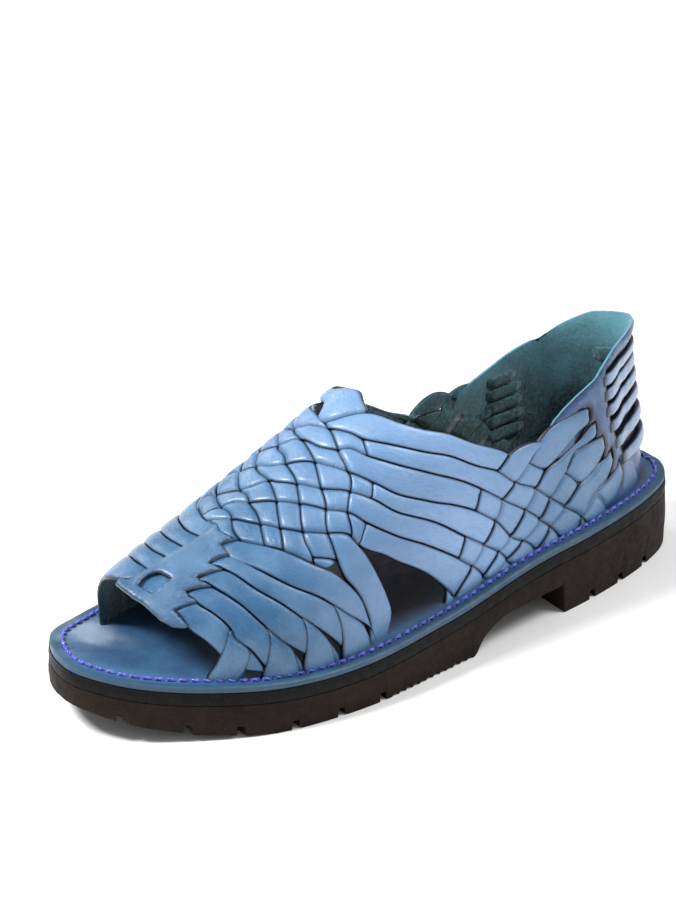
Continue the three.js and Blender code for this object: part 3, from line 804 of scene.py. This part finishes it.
def set_two_edges():
    """The mirrored set: lateral fan, over the ridge, down to the medial insole."""
    edges = []
    for j in range(1, 8):
        right = TAILS[j - 1][1][::-1] + COLUMNS[j - 1][::-1]
        left = TAILS[j - 1][0][::-1] + COLUMNS[j][::-1]
        if j == 1:
            right += [(151.5, 84.5), (150.5, 88.5), (149, 93), (148, 100), (150, 109), (156, 119),
                      (164, 130), (172, 142), (182, 150), (192, 156), (204, 158)] + mirror(ROWS[0][9:])
            left += [(134, 89.5), (138, 92), (141, 96), (142, 103), (145, 112)] + mirror(ROWS[1][3:])
        elif j == 7:
            right += mirror([*ROWS[6][2:7], (124, 36)])
            left += mirror(ROWS[7][1:])
        else:
            right += mirror(ROWS[j - 1][1:])
            left += mirror(ROWS[j][2 if j == 6 else 1:])
        edges.append((left, right))
    return edges


# How dark the dye took on each strap.
tones = np.random.default_rng(11).random(80)
set_one = [Strap(l, r, tone=tones[i]) for i, (l, r) in enumerate(set_one_edges())]
set_two = [Strap(l, r, tone=tones[10 + i]) for i, (l, r) in enumerate(set_two_edges())]
# Rear straps: from the slits of the heel counter down and forward to the insole, woven through
# the same long straps. First the lines between neighbours, then both edges of each tip.
REAR_LINES = [
    [(182, 18), (176, 13), (172, 8), (166, 2), (162, -7)],
    [(210, 21), (203, 18), (196, 16), (192, 12), (186, 8), (179, 4), (171, 0), (165, -7)],
    [(219, 17), (214, 14), (208, 10), (200, 6), (194, 4), (185, 0), (178, -7)],
    [(230, 14), (222, 10), (216, 6), (210, 4), (202, 2), (194, 0), (186, -7)],
    [(230, 6), (224, 4), (218, 1), (210, -2), (203, -7)],
    [(239, 0), (233, -3), (227, -7)],
    [(248, -3), (240, -7)],
]
REAR_TIPS = [
    ([(219, 23.5), (215, 25), (208, 26), (201, 26), (194, 24), (185, 22)],
     [(219, 23), (216, 23.5), (212, 22)]),
    ([(246, 26), (244, 26.8), (238, 27.2), (232, 27.2), (227, 27.2), (221, 26.4), (215, 24.4)],
     [(246, 26), (244.7, 24.8), (244, 23), (238, 22), (231, 20), (226, 18.6)]),
    ([(249.4, 22), (246, 22), (238, 20), (232, 19), (226, 18)],
     [(249.6, 21.6), (249, 20), (247, 18), (238, 16), (234, 15)]),
    ([(253.4, 17.6), (251, 17.8), (247, 18), (241, 18), (235, 17.6)],
     [(253.8, 17.2), (254, 16), (253, 14), (250, 12), (243, 10), (236, 9.5)]),
    ([(259.6, 12.6), (257, 12.3), (254, 12), (249, 11.5), (244, 10.4), (239, 9.4)],
     [(260, 12.3), (260.3, 10.5), (259.6, 9), (256, 7), (252, 6), (247, 4)]),
    ([(268, 8.3), (264, 7.4), (258, 6.6), (252, 6), (246, 4.5)],
     [(268.6, 7.6), (268.8, 6), (268, 4), (264, 2), (258, 0.8), (253, 0)]),
]
REAR = [(high + REAR_LINES[k], low + REAR_LINES[k + 1]) for k, (high, low) in enumerate(REAR_TIPS)]
rear = [Strap(l, r, tone=tones[30 + k], lift=0.3, reach=(2.5, 0), dip=1.2)
        for k, (l, r) in enumerate(REAR)]


def lower_mirror(line):
    """The medial side, where the counter and the ends of the rear straps stand lower."""
    return [(along, 180 - angle * (1 - 0.15 * min(max((along - 208) / 22, 0), 1))) for along, angle in line]


def shapes(straps):
    return [s.polygon() for s in straps]


def leaves(straps):
    """The free ends of the rear straps, which overlap each other."""
    return [np.vstack([s.left[:30], s.right[:30][::-1]]) for s in straps]


def weave_under(straps, crossing, parity):
    """Each strap dives under every second one that crosses it. Parity says which ones."""
    for i, strap in enumerate(straps):
        strap.over += [shape for j, shape in enumerate(shapes(crossing)) if (i + j) % 2 == parity]


rear_far = [Strap(lower_mirror(l), lower_mirror(r), tone=tones[40 + k], lift=0.3, reach=(2.5, 0), dip=1.2)
            for k, (l, r) in enumerate(REAR)]
weave_under(set_one, set_two, 1)
weave_under(set_two, set_one, 0)
for long_straps, rear_straps, roof in ((set_one, rear, fan_roof_far), (set_two, rear_far, fan_roof)):
    weave_under(long_straps, rear_straps, 0)
    weave_under(rear_straps, long_straps, 1)
    for strap in long_straps:
        strap.over.append(roof)
    for k in (0, 2, 4):
        rear_straps[k].over += [leaf for n, leaf in enumerate(leaves(rear_straps)) if abs(n - k) == 1]
set_two[0].bumps = [(142, 86, 9, 0.9)]
weave_piece("vamp_weave", set_one + set_two, ["upper"])
weave_piece("rear_weave", rear + rear_far)


# --- Fan and side straps ---
# Five straps fan back from each side of the toe plate, and a shorter strap comes up from the
# insole between every two of them.
SLIT_ENDS = [(56, 50), (64, 56), (72, 63), (78, 68), (84, 73)]
FAN_TAILS = [
    ([(60, 8)], [(76, 3)]),
    ([(78, 0)], [(93, 0)]),
    ([(98, 0)], [(110, -3)]),
    ([(115, -3)], [(126, -3)]),
    ([(127, -3)], [(128, -1)]),
]
SOLE_STRAPS = [
    ([(53, -7), (53, 2), (56, 9), (58, 14), (63, 28)], [(66, -7), (66, 0), (68, 6), (70, 15), (66, 28)]),
    ([(74, -7), (74, 0), (76, 9), (78, 20), (78, 28)], [(90, -7), (90, 0), (88, 8), (85, 18), (82, 26)]),
    ([(91, -7), (91, 2), (92, 9), (93, 18), (92, 28)], [(106, -7), (106, 0), (104, 7), (99, 16), (96, 25)]),
    ([(109, -7), (109, 0), (109, 7), (108, 16), (106, 24)],
     [(124, -7), (124, 0), (121, 7), (115, 16), (110, 22)]),
]
fan, fan_far = [], []
for k, slit_end in enumerate(SLIT_ENDS):
    left, right = FAN[k], [slit_end] + [p for p in FAN[k + 1] if p[1] < slit_end[1] - 1.5]
    if k > 1:
        left = left[:-1] + [(left[-1][0] + 3, left[-1][1])]
    # Each strap starts tucked in under the plate.
    left_tuck, right_tuck = (left[0][0] - 2.5, left[0][1] + 3), (right[0][0] - 3, right[0][1] + 5)
    left_tail, right_tail = FAN_TAILS[k]
    fan.append(Strap([left_tuck, *left, *left_tail], [right_tuck, *right, *right_tail],
                     tone=tones[50 + k], reach=(8, 0), lift=0.2))
    fan_far.append(Strap(FAN_FAR[k], FAN_FAR[k + 1], tone=tones[56 + k], reach=(3, 0), dip=0.9, lift=0.15))
short = []
for k, (l, r) in enumerate(SOLE_STRAPS):
    short.append(Strap(l, r, [fan[k + 1].polygon()], tone=tones[62 + k], lift=1.3))
    under_far = [fan_far[k + 1].polygon()]
    short.append(Strap(mirror(l), mirror(r), under_far, tone=tones[67 + k], lift=1.3))
in_turn = [strap for pair in zip(fan, fan_far) for strap in pair]
weave_piece("fan_straps", in_turn + short)


# --- Toe plate ---
# One smooth piece of the same leather over the toes, slit along both sides so that the fan
# straps come up through it, with a small window that shows the strap beneath.
PLATE = [
    (34, 70), (36, 63), (37.5, 54), (39.5, 45), (43, 38.5), (47, 35.5), (49, 36), (47, 44), (46, 50),
    (52, 50), (56, 50), (54, 55), (54, 59), (59, 58), (64, 56), (62, 61), (61, 65), (67, 64), (72, 63),
    (70, 67), (69, 70), (74, 70), (78, 68), (78, 72), (78, 76), (81, 75), (84, 73), (83, 78), (82, 82),
    (84, 88), (84, 94),
]
PLATE_FAR = [(80, 97), (70, 96), (60, 96), (50, 97), (44, 97), (40, 95), (36, 91.5), (33, 89.5), (33, 80)]
WINDOW = [(39.5, 77), (42.5, 79.8), (46, 80.6), (50, 78.8), (51.2, 74), (52, 70), (46.5, 68), (42, 66.3),
          (40.5, 71)]
WINDOW_MIDDLE = (45.5, 74)


def fill_outline(rim, holes, spacing):
    """Points and triangles that fill a shape on the last, finely enough to bend with it."""
    border, edges, start = [], [], 0
    for corners in [rim, *holes]:
        closed = np.vstack([corners, corners[:1]]) * FLAT
        long = length_to(closed)
        n = max(8, int(long[-1] / spacing))
        border.append(walk(closed, long, np.linspace(0, long[-1], n, endpoint=False)))
        edges += [(start + i, start + (i + 1) % n) for i in range(n)]
        start += n
    corners = np.array(rim) * FLAT
    low, high = corners.min(0), corners.max(0)
    gx, gy = np.meshgrid(np.arange(low[0], high[0], spacing), np.arange(low[1], high[1], spacing))
    gx = gx + 0.5 * spacing * (np.arange(len(gy)) % 2)[:, None]
    fill = np.stack([gx.ravel(), gy.ravel()], 1)

    def in_leather(flat):
        return inside(flat, border[0]) & ~np.any([inside(flat, hole) for hole in border[1:]], axis=0)

    every = np.vstack(border)
    near = np.array([np.min(np.linalg.norm(every - g, axis=1)) for g in fill])
    fill = fill[in_leather(fill) & (near > 0.55 * spacing)]
    made = delaunay_2d_cdt([Vector(p) for p in np.vstack([every, fill])], edges, [], 0, 1e-4)
    flat = np.array([list(v) for v in made[0]])
    faces = [list(f) for f in made[2] if in_leather(flat[list(f)].mean(0)[None])[0]]
    away = np.min([gap_to(flat, b) for b in border], axis=0)
    return flat / FLAT, faces, away, len(border[0])


def panel(name, rim, holes, spacing, off, back_off, paints, stands_for=(), dye_and_shade=None):
    """A cut piece of leather over the last, with rounded edges and a suede back."""
    places, tris, away, rim_count = fill_outline(rim, holes, spacing)
    roll = np.clip(1 - away / 1.1, 0, 1) ** 2
    top = skin(places[:, 0], places[:, 1], off(places, away) - 0.55 * roll)
    back = skin(places[:, 0], places[:, 1], back_off(places, away) + 0.3 * roll)
    n = len(places)
    faces = [list(t) for t in tris] + [[i + n for i in t[::-1]] for t in tris]
    index = [0] * len(tris) + [1] * len(tris)
    sides = [pair for t in tris for pair in zip(t, t[1:] + t[:1])]
    shared = set(sides)
    for a, b in sides:
        if (b, a) not in shared:
            faces.append([b, a, a + n, b + n])
            index.append(2 if max(a, b) < rim_count else 0)
    # Cut edges are darkened on top as edge dye. The back points are fully dark, so the walls of slits and
    # of the window fade to black: painted shade inside the cuts. A piece can ask for more painted shade on
    # top.
    edge_ink = np.clip(1 - away / 0.7, 0, 1)
    extra = dye_and_shade(places, away) if dye_and_shade else 0 * away
    marks_dye_and_shade = np.concatenate([np.maximum(0.75 * edge_ink, extra), np.ones(n)])
    lay = np.stack([places[:, 0], places[:, 1] / 10, np.full(n, 0.3)], 1)
    return solid(name, np.vstack([top, back]), faces, paints, stands_for, index,
                 {"dye_and_shade": marks_dye_and_shade, "lay": np.vstack([lay, lay])}, sharp=60)


plate_leather = strap_leather("plate_leather", (42, 80, 114), (42, 80, 114), 0.27)
raw_edge = suede("raw_edge", (38, 66, 80), (96, 134, 150))


def plate_off(places, away):
    lip = 0.35 * np.exp(-((away - 1.6) / 1.5) ** 2)
    window = (places - WINDOW_MIDDLE) * FLAT
    swell = 0.35 * np.exp(-((np.linalg.norm(window, axis=1) - 8) / 4) ** 2)
    over = np.clip((places[:, 1] - 84.5) / 5, 0, 1) * np.clip((places[:, 0] - 36) / 4, 0, 1)
    return 0.9 + (lip + swell) * (1 - over) - 2.2 * over * over * (3 - 2 * over)


panel("toe_plate", PLATE + PLATE_FAR, [WINDOW], 1.5, plate_off,
      lambda places, away: plate_off(places, away) - STRAP_THICK,
      [plate_leather, teal_suede, raw_edge], ["vamp_plate"])
under_plate = Strap([(56, 60), (55, 68), (54, 76), (53, 86), (50, 96)],
                    [(41, 62), (39, 69), (38, 76), (37, 86), (36, 96)], tone=0.4, lift=-1.1)
weave_piece("strap_under_plate", [under_plate])


# --- Heel counter ---
# A cup of the same leather round the heel, suede inside, slit for the rear straps at the front
# and for the bands at the back. Its top edge is left raw.
COUNTER_SIDE = [(279, -3), (268, -3), (258, -3), (250, -3), (244, 3), (240, 9), (233, 15), (221, 20),
                (221, 25), (225, 27.5), (232, 29.5), (240, 31), (252, 32.5), (263, 35), (273, 37.3),
                (286, 38.6), (298, 38.8)]
COUNTER_FAR = [(330, 37.3), (346, 33.8), (358, 30.6), (372, 28.4), (383, 26.2), (394, 24.2), (400, 22.8),
               (403.5, 21), (404.5, 17), (401, 12), (393, 8), (386, 5), (378, -3),
               (368, -3), (366, 2), (362, 4.5), (356, 5), (350, 3.5), (346, -3)]
COUNTER_BACK = -2.3
# The wavy line where the bands come out, as angle and place along the foot.
SCALLOPS = [(-8, 284), (2, 283), (5, 279), (10, 271), (15, 265), (20, 261), (26, 260), (32, 261),
            (40, 262)]


def behind_scallops(places):
    """How far a place lies behind the line where the bands come out, in millimetres."""
    line = np.interp(places[:, 1], *np.array(SCALLOPS, float).T)
    ahead = places[:, 0] - line
    back = (2 * HEEL_ALONG - places[:, 0]) - line
    return np.minimum(ahead, back)


def counter_off(places, away):
    inner = np.clip(behind_scallops(places) / 1.5, 0, 1) * np.clip((34 - places[:, 1]) / 3, 0, 1)
    return -0.5 - 1.4 * inner


# Painted shade on the counter: dark in the recess behind the scalloped line where the bands come out, and
# round the slits of the rear straps.
def counter_painted_shade(places, away):
    along, angle = places.T
    recess = np.clip(behind_scallops(places) / 1.2, 0, 1) * (angle < 34) * (angle > 8)
    by_slits = np.clip(1.3 - away / 1.5, 0, 1) * (along > 236) * (along < 273) * (angle < 28.5)
    return np.maximum(recess, by_slits)


# Slits at the tips of the lateral rear straps, each curved round its tip.
SLITS = [
    [(240, 27), (246, 26.8), (248, 25.2), (246.3, 23.7), (244, 22), (239, 20), (236, 19.8), (238, 21.6),
     (243, 23.2), (244.3, 25.2)],
    [(246, 21.8), (250, 22.5), (250.8, 20.5), (250, 18), (247, 16.6), (244, 15.8), (246, 18), (247.3, 20)],
    [(250, 17.3), (254.3, 18), (256.2, 15.3), (254.7, 12.3), (250.5, 10.6), (248, 11), (252, 13.2),
     (253.2, 15.2)],
    [(258, 12.4), (262, 13), (263.4, 10.3), (262.4, 8.6), (260, 6.8), (257, 5.8), (259.5, 8.2),
     (260.3, 10.3)],
    [(266, 7.6), (268.5, 9), (270.6, 6), (270.3, 4), (269, 2.6), (268.8, 5), (268.2, 6.5)],
]
counter_leather = strap_leather("counter_leather", (10, 54, 104), (12, 58, 110), 0.38)
counter_suede = suede("counter_suede", (30, 50, 58), (96, 152, 166))
rim_suede = suede("counter_raw_edge", (30, 84, 108), (62, 132, 158))
panel("heel_counter", COUNTER_SIDE + COUNTER_FAR, SLITS, 1.8, counter_off,
      lambda places, away: COUNTER_BACK,
      [counter_leather, counter_suede, rim_suede], ["heel_counter"], counter_painted_shade)


# --- Strap ends inside the heel ---
# Where the rear straps have passed through the slits they lie on the suede inside the counter,
# rough side showing, and dive back out at both ends. Under the lateral rim two bands end.
# Rear end and angle of each, on the medial side and on the lateral side.
INNER_ENDS = [(251, 158), (254, 161.5), (255, 165), (256, 168.5), (256, 172)]
INNER_ENDS_NEAR = [(253, 24.6), (256, 19.6), (261, 14.6), (268, 9.6), (275, 5)]
inner = []
for k, (end, angle) in enumerate(INNER_ENDS):
    left, right = [[(235, angle + 0.7 * d), (238, angle + d), (247, angle + d), (end, angle + 0.6 * d)]
                   for d in (-1.4, 1.4)]
    inner.append(Strap(left, right, tone=tones[k], lift=-2.1, reach=(3, 3), dip=-1.6))
for k, (end, angle) in enumerate(INNER_ENDS_NEAR):
    left, right = [[(end - 20, angle + 0.7 * d), (end - 16, angle + d), (end, angle + d)]
                   for d in (2.7, -2.7)]
    inner.append(Strap(left, right, tone=tones[k], lift=-2.4, reach=(3, 3), dip=-0.8))
for end, angle in ((329, 25.5), (327, 19.5)):
    left, right = [[(315, angle + d), (322, angle + d), (end, angle + 0.7 * d)] for d in (2.1, -2.1)]
    inner.append(Strap(left, right, tone=0.2, lift=-2.1, reach=(3, 3), dip=-1.6))
weave_piece("strap_ends_inside", inner, paints=[teal_suede, teal_suede])


# --- Heel bands ---
# Six narrow straps lashed round the back of the heel. Each comes out of a slit of the counter
# on one side and goes back in on the other.
BANDS = [88, 81.5, 74.6, 66.8, 57.8, 48.4]
BAND_WIDTH = 5.3
BAND_START = 258
BAND_DROP = 7


def angle_at(along, z):
    """How far up the last stands at a height above the floor."""
    folded = np.where(along > HEEL_ALONG, 2 * HEEL_ALONG - along, along)
    toe = np.interp(folded, lateral_long, lateral_line[:, 1])
    up = np.clip((z - insole_top(toe)) / fair(RISE, toe), 0, 1)
    return np.degrees(np.arcsin(up ** (ROUNDNESS / 2)))


bands = []
for k, height in enumerate(BANDS):
    first = BAND_START + max(0, k - 2) ** 1.6 * 2.2
    share = np.linspace(0, 1, 25)
    along = first + (2 * HEEL_ALONG - 2 * first) * share
    middle = height - BAND_DROP * np.clip(2 * share - 1, 0, 1)
    low = list(zip(along, angle_at(along, middle - BAND_WIDTH / 2)))
    high = list(zip(along, angle_at(along, middle + BAND_WIDTH / 2)))
    bands.append(Strap(high, low, tone=tones[72 + k], lift=0.6, reach=(5, 5), dip=1.0))
# The bands are coloured paler than the other straps. This is a painted reflection, standing in for the
# silvery sheen the bands catch from the bright surroundings at a grazing angle.
band_leather_painted_sheen = strap_leather("band_leather_painted_sheen", (118, 138, 170), (130, 150, 182), 0.26)
weave_piece("heel_bands", bands, [f"heel_band_{i}" for i in range(1, 7)],
            [band_leather_painted_sheen, teal_suede])


# --- Stage ---
# A plain pale floor, a bright lamp over the toe with two softer ones beside and behind it, and
# the camera, looking down on the lateral side and the toe.
floor_paint = Paint("pale_floor", Roughness=0.85)
paper = floor_paint.remap(floor_paint.noise(30), 0.3, 0.7)
white = floor_paint.mix(paper, chart(238, 238, 238), chart(244, 244, 244))
floor_paint.set(floor_paint.base, {"Base Color": white})
floor_mesh = bpy.data.meshes.new("floor")
floor_mesh.from_pydata([(-6, -6, 0), (6, -6, 0), (6, 6, 0), (-6, 6, 0)], [], [(0, 1, 2, 3)])
floor_mesh.materials.append(floor_paint.material)
floor = in_scene("floor", floor_mesh)

world = bpy.data.worlds.new("studio")
world.use_nodes = True
world.node_tree.nodes["Background"].inputs["Color"].default_value = (1, 1, 1, 1)
world.node_tree.nodes["Background"].inputs["Strength"].default_value = 0.48
bpy.context.scene.world = world
bpy.context.scene.view_settings.view_transform = "Standard"
LAMPS_AIM = (0, 0, 0.05)


def soft_light(name, place, size, power):
    """A square lamp turned towards the shoe."""
    lamp = bpy.data.lights.new(name, "AREA")
    lamp.shape = "RECTANGLE"
    lamp.size, lamp.size_y = size, size
    lamp.energy = power
    made = in_scene(name, lamp)
    made.location = place
    made.rotation_euler = (Vector(LAMPS_AIM) - Vector(place)).to_track_quat("-Z", "Y").to_euler()


soft_light("key", (-0.25, -0.8, 1.0), 0.26, 19)
soft_light("left", (-1.2, -0.1, 0.7), 0.5, 4)
soft_light("top", (0.5, 0.6, 1.2), 0.6, 12)

camera = bpy.data.cameras.new("camera")
camera.lens = 187.8
camera.sensor_width = 36
camera_object = in_scene("camera", camera)
camera_object.location = (1.3151, -0.9735, 0.9196)
gaze = Vector((-0.71942, 0.52279, -0.45731))
camera_object.rotation_euler = gaze.to_track_quat("-Z", "Y").to_euler()
bpy.context.scene.camera = camera_object
